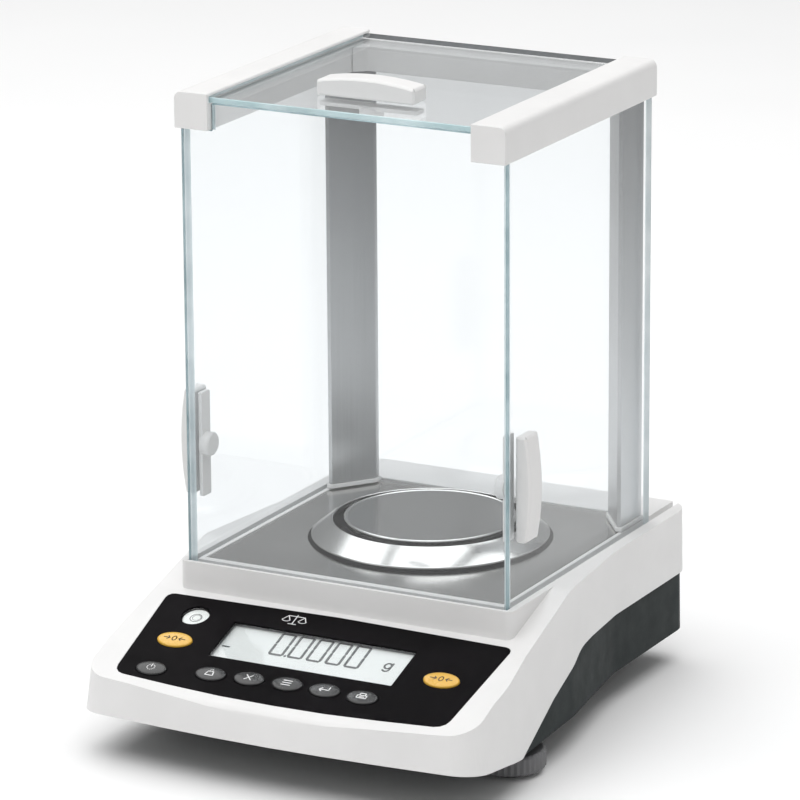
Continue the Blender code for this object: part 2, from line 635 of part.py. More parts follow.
# ---- weighing mechanism ---------------------------------------------------------------------
def make_weigh_cell(finishes):
    """Lever cell: load carrier, parallel guides, frame, lever, magnet and coil."""
    metal = finishes["cast"]
    receptor_rear = PAN_Y + RECEPTOR_HALF_DEPTH
    box("load_receptor", (-RECEPTOR_HALF_WIDTH, PAN_Y - RECEPTOR_HALF_DEPTH, RECEPTOR_LOW_Z),
        (RECEPTOR_HALF_WIDTH, receptor_rear, CELL_TOP_Z), metal)
    guide_levels = {"upper": CELL_TOP_Z - 1.2 * MM - GUIDE_THICKNESS, "lower": RECEPTOR_LOW_Z + 1.2 * MM}
    for name, level in guide_levels.items():
        box("guide_" + name, (-GUIDE_HALF_WIDTH, receptor_rear + GAP, level),
            (GUIDE_HALF_WIDTH, CELL_FRAME_FRONT - GAP, level + GUIDE_THICKNESS), finishes["aluminium"])
    frame = box("cell_frame", (-26 * MM, CELL_FRAME_FRONT, CELL_LOW_Z),
                (26 * MM, CELL_FRAME_REAR, CELL_TOP_Z), metal)
    slot = box("slot", (-8 * MM, CELL_FRAME_FRONT - 8 * MM, LEVER_LOW_Z - 2 * MM),
               (8 * MM, CELL_FRAME_REAR + 8 * MM, LEVER_TOP_Z + 3 * MM), None)
    boolean(frame, [slot])
    spot = (0, COIL_Y)
    lever = box("lever", (-5 * MM, receptor_rear + GAP, LEVER_LOW_Z),
                (5 * MM, LEVER_REAR, LEVER_TOP_Z), finishes["aluminium"])
    boolean(lever, [disc("clear", spot, 2 * MM, LEVER_LOW_Z - 10 * MM, LEVER_TOP_Z + 10 * MM, None, 12)])
    bore = POT_RADIUS - POT_WALL
    turned("magnet_pot",
           ((0, CELL_LOW_Z), (POT_RADIUS, CELL_LOW_Z), (POT_RADIUS, POT_TOP_Z), (bore, POT_TOP_Z),
            (bore, POT_FLOOR_Z), (POT_CORE_RADIUS, POT_FLOOR_Z),
            (POT_CORE_RADIUS, POT_TOP_Z - 1 * MM), (0, POT_TOP_Z - 1 * MM)),
           spot, finishes["magnet"], 32)
    coil_top = LEVER_LOW_Z - GAP
    turned("force_coil",
           ((COIL_INNER_RADIUS, COIL_LOW_Z), (COIL_OUTER_RADIUS, COIL_LOW_Z),
            (COIL_OUTER_RADIUS, coil_top), (COIL_INNER_RADIUS, coil_top)),
           spot, finishes["copper"], 32)


def make_pan_group(finishes):
    spot = (0, PAN_Y)
    sheet = 1.1 * MM
    inside = PAN_TOP_Z - 0.5 * MM - sheet
    skirt = PAN_TOP_Z - 3.2 * MM
    socket_radius = 4.4 * MM
    turned("weighing_pan",
           ((0, inside + sheet), (PAN_RADIUS - 2 * MM, inside + sheet),
            (PAN_RADIUS - 1.2 * MM, PAN_TOP_Z), (PAN_RADIUS, PAN_TOP_Z - 0.6 * MM),
            (PAN_RADIUS, skirt), (PAN_RADIUS - sheet, skirt), (PAN_RADIUS - sheet, inside),
            (8 * MM, inside), (8 * MM, PAN_TOP_Z - 5 * MM), (socket_radius, PAN_TOP_Z - 5 * MM),
            (socket_radius, inside), (0, inside)),
           spot, finishes["steel"], 64)
    plate_top = PAN_TOP_Z - 5 * MM - GAP
    plate_radius = 22 * MM
    stem_foot = CELL_TOP_Z + GAP
    pin_radius = 4 * MM
    turned("pan_carrier",
           ((0, stem_foot), (STEM_RADIUS, stem_foot), (STEM_RADIUS, plate_top - 2 * MM),
            (plate_radius, plate_top - 2 * MM), (plate_radius, plate_top),
            (pin_radius, plate_top), (pin_radius, PAN_TOP_Z - 2 * MM), (0, PAN_TOP_Z - 2 * MM)),
           spot, finishes["aluminium"], 32)
    turned("shield_ring",
           ((RING_INNER_RADIUS, RING_TOP_Z), (RING_INNER_RADIUS, RING_TOP_Z - RING_SHEET),
            (RING_OUTER_RADIUS - 0.6 * MM, RING_LOW_Z), (RING_OUTER_RADIUS, RING_LOW_Z),
            (RING_OUTER_RADIUS, RING_LOW_Z + 0.7 * MM),
            (RING_INNER_RADIUS + 0.8 * MM, RING_TOP_Z + 0.2 * MM)),
           spot, finishes["steel"], 64)
    make_chamber_tray(finishes["grey"])
    plate = box("floor_plate",
                (-FLOOR_PLATE_HALF_WIDTH, FLOOR_PLATE_FRONT, FLOOR_PLATE_TOP - FLOOR_PLATE_THICKNESS),
                (FLOOR_PLATE_HALF_WIDTH, FLOOR_PLATE_REAR, FLOOR_PLATE_TOP), finishes["steel"])
    boolean(plate, [disc("hole", spot, FLOOR_HOLE_RADIUS, 70 * MM, 90 * MM, None, 64)])


def make_chamber_tray(finish):
    """Moulded tray under the floor plate, with the collar that the shield ring sits on."""
    low = RIM_Z - TOP_WALL
    high = LEDGE_Z - 0.1 * MM
    tray = box("chamber_tray", (-OPENING_HALF_WIDTH + GAP, OPENING_FRONT + GAP, low),
               (OPENING_HALF_WIDTH - GAP, OPENING_REAR - GAP, high), None)
    collar_top = RING_TOP_Z - 4.3 * MM
    collar = disc("collar", (0, PAN_Y), 55 * MM, low + 1 * MM, collar_top, None, ROUND_STEPS)
    boolean(tray, [collar], "UNION")
    bowl = disc("bowl", (0, PAN_Y), 52.5 * MM, high - 1 * MM, collar_top + 5 * MM, None, ROUND_STEPS)
    stem_hole = disc("stem_hole", (0, PAN_Y), 9 * MM, 60 * MM, 95 * MM, None, SMALL_STEPS)
    boolean(tray, [bowl, stem_hole])
    tray.data.materials.clear()
    tray.data.materials.append(finish)


# ---- draft shield ---------------------------------------------------------------------------
def side_outline(outline, side):
    return [(side * x, y) for x, y in outline]


def grown(outline, amount):
    """Offset a convex outline, given anticlockwise, outwards by amount."""
    count = len(outline)
    points = []
    for i in range(count):
        here = Vector(outline[i])
        before = (here - Vector(outline[i - 1])).normalized()
        after = (Vector(outline[(i + 1) % count]) - here).normalized()
        out_before = Vector((before.y, -before.x))
        out_after = Vector((after.y, -after.x))
        middle = (out_before + out_after).normalized()
        points.append(tuple(here + middle * (amount / middle.dot(out_before))))
    return points


def make_columns(finishes):
    for side, name in ((-1, "left"), (1, "right")):
        outline = side_outline(COLUMN_OUTLINE, side)
        inner = side_outline(grown(COLUMN_OUTLINE, -COLUMN_WALL), side)
        column = prism("column_" + name, outline, COLUMN_LOW_Z + GAP, RAIL_LOW_Z - GAP,
                       finishes["aluminium"])
        boolean(column, [prism("bore", inner, 80 * MM, 320 * MM, None)])
        foot_outline = side_outline(grown(COLUMN_OUTLINE, COLUMN_LIP), side)
        prism("column_foot_" + name, foot_outline, COLUMN_FOOT_Z, COLUMN_LOW_Z, finishes["white"])


def make_top_frame(finish):
    for side, name in ((-1, "left"), (1, "right")):
        section = fillet([
            (side * RAIL_INNER_X, RAIL_LOW_Z, 0),
            (side * RAIL_OUTER_X, RAIL_LOW_Z, 0.6 * MM),
            (side * RAIL_OUTER_X, RAIL_TOP_Z, 4 * MM),
            (side * RAIL_INNER_X, RAIL_TOP_Z, 1 * MM),
        ], 3)
        rail = prism("rail_" + name, section, RAIL_FRONT, RAIL_REAR, finish, "Y")
        low_x, high_x = sorted((side * (RAIL_INNER_X - 2 * MM), side * (TOP_PANE_HALF_WIDTH + 0.5 * MM)))
        pane_groove = box("pane_groove", (low_x, TOP_PANE_FRONT - GAP, TOP_PANE_LOW_Z - GAP),
                          (high_x, 120 * MM, TOP_PANE_LOW_Z + TOP_PANE_THICKNESS + GAP), None)
        low_x, high_x = sorted((side * (GLASS_OUTER_X - GLASS - GAP), side * (GLASS_OUTER_X + GAP)))
        door_groove = box("door_groove", (low_x, FRONT_PANE_Y + GLASS, 300 * MM),
                          (high_x, 120 * MM, RAIL_LOW_Z + 5.5 * MM), None)
        boolean(rail, [pane_groove, door_groove])
    end = RAIL_INNER_X - GAP
    prism("crossbar", [
        (-end, RAIL_REAR), (-end, 88 * MM), (-end + 6 * MM, 94 * MM),
        (end - 6 * MM, 94 * MM), (end, 88 * MM), (end, RAIL_REAR),
    ], RAIL_LOW_Z, TOP_PANE_LOW_Z - 2 * GAP, finish)


def make_panes(finish):
    high = TOP_PANE_LOW_Z - 2 * GAP
    low = RIM_Z - GROOVE_DEPTH + GAP
    inner_x = RAIL_INNER_X - GAP
    under_rail = RAIL_LOW_Z - GAP
    prism("front_pane", [
        (-GLASS_OUTER_X, low), (GLASS_OUTER_X, low), (GLASS_OUTER_X, under_rail), (inner_x, under_rail),
        (inner_x, high), (-inner_x, high), (-inner_x, under_rail), (-GLASS_OUTER_X, under_rail),
    ], FRONT_PANE_Y, FRONT_PANE_Y + GLASS, finish, "Y")
    side_front = FRONT_PANE_Y + GLASS + GAP
    for side, name in ((-1, "left"), (1, "right")):
        low_x, high_x = sorted((side * (GLASS_OUTER_X - GLASS), side * GLASS_OUTER_X))
        box("door_" + name, (low_x, side_front, low), (high_x, DOOR_REAR, RAIL_LOW_Z + 4.8 * MM), finish)
    box("top_pane", (-TOP_PANE_HALF_WIDTH, TOP_PANE_FRONT, TOP_PANE_LOW_Z),
        (TOP_PANE_HALF_WIDTH, TOP_PANE_REAR, TOP_PANE_LOW_Z + TOP_PANE_THICKNESS), finish)
    rear_x = COLUMN_OUTLINE[2][0] - COLUMN_LIP - GAP
    box("rear_pane", (-rear_x, REAR_PANE_Y, RIM_Z + GAP),
        (rear_x, REAR_PANE_Y + GLASS, RAIL_LOW_Z - GAP), finish)


def handle_matrix(origin, along, out):
    """Frame of a handle: X along its length, Y out of the glass, Z across its thickness."""
    along = Vector(along)
    out = Vector(out)
    matrix = Matrix.Identity(4)
    matrix.col[0] = (*along, 0)
    matrix.col[1] = (*out, 0)
    matrix.col[2] = (*along.cross(out), 0)
    matrix.col[3] = (*origin, 1)
    return matrix


def make_handle(name, outside, inside, reach, along, out, finish):
    """Bowed grip outside the glass; strip with a round knob inside it."""
    half = HANDLE_LENGTH / 2
    steps = 10
    outline = [(-half, 0), (half, 0)]
    for i in range(steps + 1):
        t = 1 - 2 * i / steps
        outline.append((half * t, reach - HANDLE_BOW * t * t))
    grip = prism("handle_" + name, outline, -HANDLE_WIDTH / 2, HANDLE_WIDTH / 2, finish, "Z",
                 handle_matrix(outside, along, out))
    bevel(grip, HANDLE_EDGE)

    width = CLIP_WIDTH / 2
    inward = [-value for value in out]
    lying = handle_matrix(inside, along, inward) @ Matrix.Rotation(-math.pi / 2, 4, "X")
    strip = prism("handle_clip_" + name, fillet([
        (-half, -width, 1 * MM), (half, -width, 1 * MM), (half, width, 1 * MM), (-half, width, 1 * MM),
    ], 2), 0, CLIP_THICKNESS, finish, "Z", lying)
    foot = CLIP_THICKNESS / 2
    crown = CLIP_THICKNESS + KNOB_HEIGHT
    profile = ((0, foot), (KNOB_RADIUS, foot), (KNOB_RADIUS, crown - 0.8 * MM),
               (KNOB_RADIUS - 0.8 * MM, crown), (0, crown))
    boolean(strip, [turned("knob", profile, (0, 0), None, SMALL_STEPS, lying)], "UNION")
    strip.data.materials.clear()
    strip.data.materials.append(finish)


def make_handles(finish):
    for side, name in ((-1, "left"), (1, "right")):
        outside = (side * (GLASS_OUTER_X + GAP), SIDE_HANDLE_Y, SIDE_HANDLE_Z)
        inside = (side * (GLASS_OUTER_X - GLASS - GAP), SIDE_CLIP_Y, SIDE_HANDLE_Z)
        make_handle(name, outside, inside, SIDE_HANDLE_REACH, (0, 0, 1), (side, 0, 0), finish)
    outside = (0, TOP_HANDLE_Y, TOP_PANE_LOW_Z + TOP_PANE_THICKNESS + GAP)
    inside = (0, TOP_HANDLE_Y, TOP_PANE_LOW_Z - GAP)
    make_handle("top", outside, inside, TOP_HANDLE_REACH, (1, 0, 0), (0, 0, 1), finish)


# ---- electronics and rear connectors --------------------------------------------------------
def make_electronics(finishes):
    box("main_board", (-84 * MM, 20 * MM, 30 * MM), (-32 * MM, 112 * MM, 31.6 * MM), finishes["board"])
    inlet = box("power_inlet", (INLET_X - INLET_HALF, 128 * MM, PORTS_Z - INLET_HALF),
                (INLET_X + INLET_HALF, 143 * MM, PORTS_Z + INLET_HALF), finishes["black"])
    socket = prism("socket", circle((INLET_X, PORTS_Z), SOCKET_RADIUS), 133 * MM, 150 * MM, None, "Y")
    boolean(inlet, [socket])
    foot_width = PORT_HALF_WIDTH - 1.5 * MM
    shell = fillet([
        (PORT_X - PORT_HALF_WIDTH, PORTS_Z + PORT_HALF_HEIGHT, 2 * MM),
        (PORT_X - foot_width, PORTS_Z - PORT_HALF_HEIGHT, 2 * MM),
        (PORT_X + foot_width, PORTS_Z - PORT_HALF_HEIGHT, 2 * MM),
        (PORT_X + PORT_HALF_WIDTH, PORTS_Z + PORT_HALF_HEIGHT, 2 * MM),
    ], 3)
    prism("data_port", shell, 130 * MM, 143.5 * MM, finishes["steel"], "Y")


def make_underside(finishes):
    """Plug that closes the opening for weighing below the balance."""
    plug_radius = HOOK_HOLE_RADIUS - GAP - 0.1 * MM
    head_low = LOWER_HOUSING_Z - 2 * MM
    head_high = LOWER_HOUSING_Z - GAP
    plug_top = LOWER_HOUSING_Z + 2 * MM
    turned("hook_cover",
           ((0, head_low), (10 * MM, head_low), (10 * MM, head_high),
            (plug_radius, head_high), (plug_radius, plug_top), (0, plug_top)),
           (0, PAN_Y), finishes["dark"], SMALL_STEPS)


def main():
    for old in list(bpy.data.objects):
        bpy.data.objects.remove(old)
    finishes = make_materials()
    make_upper_housing(finishes["white"])
    make_lower_housing(finishes["dark"])
    make_front_cover(finishes["dark"])
    make_panel(finishes["black"])
    make_keys(finishes)
    make_display(finishes)
    make_housing_screws(finishes["steel"])
    make_chassis(finishes["cast"])
    make_feet(finishes)
    make_weigh_cell(finishes)
    make_pan_group(finishes)
    make_columns(finishes)
    make_top_frame(finishes["white"])
    make_panes(finishes["glass"])
    make_handles(finishes["white"])
    make_electronics(finishes)
    make_underside(finishes)


main()
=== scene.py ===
import json
import math

import bmesh
import bpy
from mathutils import Matrix, Vector


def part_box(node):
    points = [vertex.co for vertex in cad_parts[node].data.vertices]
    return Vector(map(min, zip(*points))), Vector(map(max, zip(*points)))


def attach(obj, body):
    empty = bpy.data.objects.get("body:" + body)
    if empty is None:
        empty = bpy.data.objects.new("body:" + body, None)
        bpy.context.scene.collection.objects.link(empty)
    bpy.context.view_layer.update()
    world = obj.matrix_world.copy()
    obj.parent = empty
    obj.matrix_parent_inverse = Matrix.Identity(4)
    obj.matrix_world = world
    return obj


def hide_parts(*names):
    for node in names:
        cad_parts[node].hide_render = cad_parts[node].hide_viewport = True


# Looks of the analytical balance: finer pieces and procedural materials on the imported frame.
# Metres, +X to the right seen from the front, +Y to the back, +Z up.

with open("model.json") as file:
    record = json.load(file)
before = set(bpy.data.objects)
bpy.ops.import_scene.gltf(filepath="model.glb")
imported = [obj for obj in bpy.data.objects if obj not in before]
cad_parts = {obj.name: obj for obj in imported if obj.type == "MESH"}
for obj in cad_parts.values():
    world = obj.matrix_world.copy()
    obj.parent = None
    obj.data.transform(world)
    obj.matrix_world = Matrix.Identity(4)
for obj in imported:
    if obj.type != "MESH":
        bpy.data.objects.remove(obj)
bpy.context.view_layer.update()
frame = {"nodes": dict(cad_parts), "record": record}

MM = 0.001
NODES = frame["nodes"]
SLOT_OF = {part["node"]: part["material_slot"] for part in frame["record"]["subparts"]}
BODY_OF = {node: body for body, nodes in frame["record"]["behaviour"]["bodies"].items()
           for node in nodes}
SLOPE_ANGLE = math.radians(18.5)     # of the sloping face that carries the panel
PANEL_PROUD = 0.2 * MM               # height of the panel above that face
PRINT_LIFT = 0.05 * MM               # height of printed marks above what they are printed on
WELD_DISTANCE = 0.004 * MM           # corners of a solid closer than this are one
FLAT_ANGLE = math.radians(0.3)       # faces that turn less than this are one flat face
TINY = 1e-9                          # a length below this counts as none


# ---- building materials ---------------------------------------------------------------------
FACING_MIRROR = 0.035                # share of light a clear film mirrors when faced squarely
GLANCING_MIRROR = 0.8                # share added at the most glancing angle


class Nodes:
    """A material's node tree, with short calls to add and join nodes."""

    def __init__(self, name):
        self.material = bpy.data.materials.new(name)
        self.material.use_nodes = True
        self.tree = self.material.node_tree
        self.tree.nodes.clear()
        self.output = self.tree.nodes.new("ShaderNodeOutputMaterial")

    def add(self, kind, inputs=None, **settings):
        node = self.tree.nodes.new("ShaderNode" + kind)
        for key, value in settings.items():
            setattr(node, key, value)
        for key, value in (inputs or {}).items():
            if isinstance(value, bpy.types.NodeSocket):
                self.tree.links.new(value, node.inputs[key])
            else:
                node.inputs[key].default_value = value
        return node

    def place(self):
        return self.add("TexCoord").outputs["Object"]

    def stretched(self, scale, location=(0, 0, 0)):
        """Object coordinates, scaled along each axis."""
        node = self.add("Mapping", {"Vector": self.place(), "Scale": scale, "Location": location})
        return node.outputs["Vector"]

    def noise(self, vector, scale, detail=2.0, rough=0.5):
        node = self.add("TexNoise", {"Vector": vector, "Scale": scale, "Detail": detail,
                                     "Roughness": rough})
        return node.outputs["Fac"]

    def spread(self, value, low, high, from_low=0.3, from_high=0.7):
        """Map a noise value onto a range."""
        node = self.add("MapRange", {"Value": value, "From Min": from_low, "From Max": from_high,
                                     "To Min": low, "To Max": high})
        return node.outputs["Result"]

    def ramp(self, value, stops):
        node = self.add("ValToRGB", {"Fac": value})
        elements = node.color_ramp.elements
        while len(elements) < len(stops):
            elements.new(0.5)
        for element, (position, colour) in zip(elements, stops):
            element.position = position
            element.color = (*colour, 1.0)
        return node.outputs["Color"]

    def bump(self, height, strength, distance):
        inputs = {"Height": height, "Strength": strength, "Distance": distance}
        return self.add("Bump", inputs).outputs["Normal"]

    def clear_film(self, colour, haze, gloss):
        """See-through surface that mirrors more at a glancing angle, the same from both sides."""
        clear = self.add("BsdfTransparent", {"Color": (*colour, 1.0)})
        shine = self.add("BsdfGlossy", {"Color": (1, 1, 1, 1),
                                        "Roughness": self.spread(haze, gloss, gloss + 0.04)})
        facing = self.add("LayerWeight", {"Blend": 0.5}).outputs["Facing"]
        steep = self.add("Math", {0: facing, 1: 5.0}, operation="POWER").outputs["Value"]
        share = self.add("Math", {0: steep, 1: GLANCING_MIRROR, 2: FACING_MIRROR},
                         operation="MULTIPLY_ADD").outputs["Value"]
        mix = self.add("MixShader", {0: share, 1: clear.outputs["BSDF"], 2: shine.outputs["BSDF"]})
        return self.finish(mix.outputs["Shader"])

    def finish(self, shader):
        self.tree.links.new(shader, self.output.inputs["Surface"])
        return self.material

    def principled(self, **inputs):
        named = {key.replace("_", " "): value for key, value in inputs.items()}
        return self.finish(self.add("BsdfPrincipled", named).outputs["BSDF"])


def plastic(name, dark, light, roughness, grain=0.35 * MM, depth=0.02 * MM, coat=0.0, specular=0.45):
    """Moulded plastic: fine spark-eroded grain, faint mottling and uneven gloss."""
    tree = Nodes(name)
    mottling = tree.noise(tree.place(), 22.0, 4.0, 0.6)
    colour = tree.ramp(mottling, ((0.3, dark), (0.7, light)))
    fine = tree.noise(tree.place(), 1.0 / grain, 2.0, 0.6)
    wear = tree.noise(tree.place(), 95.0, 5.0, 0.65)
    gloss = tree.spread(wear, roughness - 0.05, roughness + 0.07)
    return tree.principled(
        Base_Color=colour, Roughness=gloss, Normal=tree.bump(fine, 0.35, depth),
        Coat_Weight=coat, Coat_Roughness=0.15, Specular_IOR_Level=specular)


def brushed(name, colour, roughness, scale, anisotropy=0.0, turned_about=None, painted_top_shade=None, relief=0.12):
    """Metal with a fine grain: lines drawn out along one axis, or circles about a vertical axis.

    The painted top shade darkens the colour with height as painted shade, standing in for a dimmer
    reflection near the top: (start, full, share of the colour left there).
    """
    tree = Nodes(name)
    if turned_about is None:
        vector = tree.stretched(scale)
    else:
        shifted = tree.stretched((1, 1, 0), (-turned_about[0], -turned_about[1], 0))
        radius = tree.add("VectorMath", {0: shifted}, operation="LENGTH").outputs["Value"]
        vector = tree.add("CombineXYZ", {"X": radius}).outputs["Vector"]
        vector = tree.add("VectorMath", {0: vector, "Scale": scale}, operation="SCALE").outputs["Vector"]
    grain = tree.noise(vector, 1.0, 3.0, 0.7)
    broad = tree.noise(tree.place(), 18.0, 2.0)
    dark = tuple(0.88 * value for value in colour)
    tint = tree.ramp(grain, ((0.25, dark), (0.75, colour)))
    # Painted shade: the colour darkens with height, standing in for a dimmer reflection near the top.
    if painted_top_shade:
        height = tree.add("SeparateXYZ", {"Vector": tree.place()}).outputs["Z"]
        share = tree.spread(height, 1.0, painted_top_shade[2], painted_top_shade[0], painted_top_shade[1])
        tint = tree.add("VectorMath", {0: tint, "Scale": share}, operation="SCALE").outputs["Vector"]
    rough = tree.spread(tree.add("Math", {0: grain, 1: broad}, operation="ADD").outputs["Value"],
                        roughness - 0.05, roughness + 0.07, 0.7, 1.3)
    extra = {}
    if anisotropy:
        tangent = tree.add("Tangent", direction_type="RADIAL", axis="Z")
        extra = {"Anisotropic": anisotropy, "Tangent": tangent.outputs["Tangent"]}
    return tree.principled(Base_Color=tint, Metallic=1.0, Roughness=rough,
                           Normal=tree.bump(grain, relief, 0.02 * MM), **extra)


def pane_glass():
    """Clear float glass seen through its faces: faint tint, sharp reflections, faint smears."""
    tree = Nodes("pane_glass")
    smear = tree.noise(tree.stretched((14, 14, 5)), 1.0, 4.0, 0.6)
    return tree.clear_film((0.978, 0.986, 0.990), smear, 0.01)


def edge_glass(name, deep, pale):
    """Ground edge of the panes: green-blue, with the light that runs out of the sheet."""
    tree = Nodes(name)
    streak = tree.noise(tree.stretched((60, 60, 60)), 1.0, 3.0)
    colour = tree.ramp(streak, ((0.3, deep), (0.7, pale)))
    return tree.principled(Base_Color=colour, Roughness=0.22, Transmission_Weight=0.25, IOR=1.5,
                           Normal=tree.bump(streak, 0.1, 0.05 * MM))


def lens(name, colour, roughness):
    """Clear moulded window: a faint film that lets nearly everything through."""
    tree = Nodes(name)
    return tree.clear_film(colour, tree.noise(tree.place(), 300.0, 3.0), roughness)


def display_glass():
    """Liquid crystal cell: pale grey-green with a faint cloudy tone, faint cell pattern."""
    tree = Nodes("display_glass")
    cloud = tree.noise(tree.stretched((16, 30, 30)), 1.0, 1.0)
    colour = tree.ramp(cloud, ((0.2, (0.74, 0.75, 0.74)), (0.8, (0.84, 0.845, 0.84))))
    rows = tree.add("TexWave", {"Vector": tree.place(), "Scale": 900.0, "Distortion": 0.0})
    return tree.principled(Base_Color=colour, Roughness=0.32,
                           Normal=tree.bump(rows.outputs["Fac"], 0.04, 0.01 * MM))


def circuit_board():
    """Solder mask over copper tracks."""
    tree = Nodes("circuit_board")
    tracks = tree.add("TexBrick", {"Vector": tree.place(), "Scale": 220.0, "Mortar Size": 0.03,
                                   "Color1": (0.012, 0.10, 0.04, 1), "Color2": (0.015, 0.13, 0.05, 1),
                                   "Mortar": (0.05, 0.26, 0.10, 1)})
    return tree.principled(Base_Color=tracks.outputs["Color"], Roughness=0.38,
                           Normal=tree.bump(tracks.outputs["Fac"], 0.3, 0.05 * MM))


def winding():
    """Enamelled wire, layer on layer."""
    tree = Nodes("copper_wire")
    turns = tree.add("TexWave", {"Vector": tree.place(), "Scale": 700.0}, bands_direction="Z")
    colour = tree.ramp(turns.outputs["Fac"], ((0.0, (0.35, 0.12, 0.05)), (1.0, (0.80, 0.42, 0.22))))
    return tree.principled(Base_Color=colour, Metallic=0.9, Roughness=0.35,
                           Normal=tree.bump(turns.outputs["Fac"], 0.8, 0.1 * MM))


def cast_metal():
    """Sand-cast aluminium skin."""
    tree = Nodes("cast_metal")
    sand = tree.noise(tree.place(), 1400.0, 4.0, 0.7)
    colour = tree.ramp(sand, ((0.3, (0.33, 0.33, 0.34)), (0.7, (0.50, 0.50, 0.51))))
    return tree.principled(Base_Color=colour, Metallic=1.0, Roughness=tree.spread(sand, 0.5, 0.66),
                           Normal=tree.bump(sand, 0.6, 0.15 * MM))


def ink(name, colour, roughness=0.5):
    """Screen-printed ink with a slightly uneven film."""
    tree = Nodes(name)
    film = tree.noise(tree.place(), 1800.0, 2.0)
    tint = tree.ramp(film, ((0.3, tuple(0.9 * value for value in colour)), (0.7, colour)))
    return tree.principled(Base_Color=tint, Roughness=roughness,
                           Normal=tree.bump(film, 0.2, 0.01 * MM))


PAN_CENTRE = tuple((a + b) / 2 for a, b in zip(*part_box("weighing_pan")))
FINISH = {
    "white_plastic": plastic("white_plastic", (0.74, 0.735, 0.73), (0.78, 0.775, 0.77), 0.42),
    "dark_plastic": plastic("dark_plastic", (0.014, 0.019, 0.019), (0.019, 0.025, 0.025), 0.55,
                            0.6 * MM, 0.05 * MM, specular=0.15),
    "black_panel": plastic("black_panel", (0.0035, 0.003, 0.0035), (0.005, 0.004, 0.005), 0.4,
                           0.2 * MM, 0.003 * MM, specular=0.03),
    "grey_plastic": plastic("grey_plastic", (0.13, 0.13, 0.135), (0.18, 0.18, 0.185), 0.5,
                            0.5 * MM, 0.04 * MM),
    "key_grey": plastic("key_grey", (0.008, 0.008, 0.009), (0.013, 0.013, 0.014), 0.24,
                        0.3 * MM, 0.004 * MM, coat=0.2, specular=0.5),
    "key_amber": plastic("key_amber", (0.66, 0.37, 0.035), (0.78, 0.46, 0.06), 0.28,
                         0.3 * MM, 0.004 * MM, coat=0.4),
    "display_glass": display_glass(),
    "clear_lens": lens("clear_lens", (0.97, 0.98, 0.98), 0.03),
    "clear_glass": pane_glass(),
    "brushed_steel": brushed("brushed_steel", (0.72, 0.715, 0.70), 0.20, (30, 3000, 3000), 0.4),
    # Painted shade: these parts darken from 0.14 m up, to about a third of their colour at 0.30 m.
    "satin_aluminium": brushed("satin_aluminium", (0.56, 0.57, 0.58), 0.34, (1300, 1300, 7), 0.5,
                               painted_top_shade=(0.14, 0.30, 0.34), relief=0.05),
    "cast_aluminium": cast_metal(),
    "circuit_board": circuit_board(),
    "copper_wire": winding(),
    "magnet_iron": brushed("magnet_iron", (0.30, 0.30, 0.31), 0.35, (1500, 1500, 120)),
    "black_rubber": plastic("black_rubber", (0.018, 0.018, 0.018), (0.028, 0.028, 0.028), 0.8,
                            0.9 * MM, 0.08 * MM),
}
TURNED_STEEL = brushed("turned_steel", (0.70, 0.70, 0.69), 0.15, 1500.0, 0.65, PAN_CENTRE,
                       relief=0.04)
# One glass edge in shaded and lit copies: painted shade for the front pane, painted light for the doors
# and the rear edges.
PAINTED_SHADE_EDGE = edge_glass("pane_edge_deep", (0.17, 0.29, 0.32), (0.40, 0.54, 0.58))
EDGE_GLASS = edge_glass("pane_edge", (0.42, 0.60, 0.63), (0.64, 0.79, 0.82))
PAINTED_LIGHT_EDGE = edge_glass("pane_edge_pale", (0.60, 0.70, 0.73), (0.80, 0.87, 0.89))
# Nearly black edge glass: painted shade on the top pane's rear edge.
PAINTED_DARK_EDGE = edge_glass("pane_edge_dark", (0.05, 0.06, 0.06), (0.09, 0.10, 0.11))
WHITE_INK = ink("white_ink", (0.88, 0.88, 0.88))
DARK_INK = ink("dark_ink", (0.03, 0.02, 0.012))
SEGMENT_INK = ink("segment_ink", (0.012, 0.013, 0.013), 0.5)
BUBBLE_WHITE = plastic("level_white", (0.80, 0.82, 0.80), (0.86, 0.88, 0.86), 0.3,
                       0.3 * MM, 0.004 * MM)


# ---- building pieces ------------------------------------------------------------------------
def piece(name, mesh, finish, body):
    """A visible piece that moves with a body."""
    made = bpy.data.objects.new(name, mesh)
    bpy.context.scene.collection.objects.link(made)
    mesh.materials.clear()
    mesh.materials.append(finish)
    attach(made, body)
    return made


def smooth(mesh, angle=32):
    mesh.shade_smooth()
    mesh.set_sharp_from_angle(angle=math.radians(angle))


def cleaned(node):
    """The node's solid with its flat faces whole again, as a bmesh."""
    bm = bmesh.new()
    bm.from_mesh(NODES[node].data)
    bmesh.ops.remove_doubles(bm, verts=bm.verts, dist=WELD_DISTANCE)
    bmesh.ops.dissolve_limit(bm, angle_limit=FLAT_ANGLE, verts=bm.verts, edges=bm.edges)
    return bm


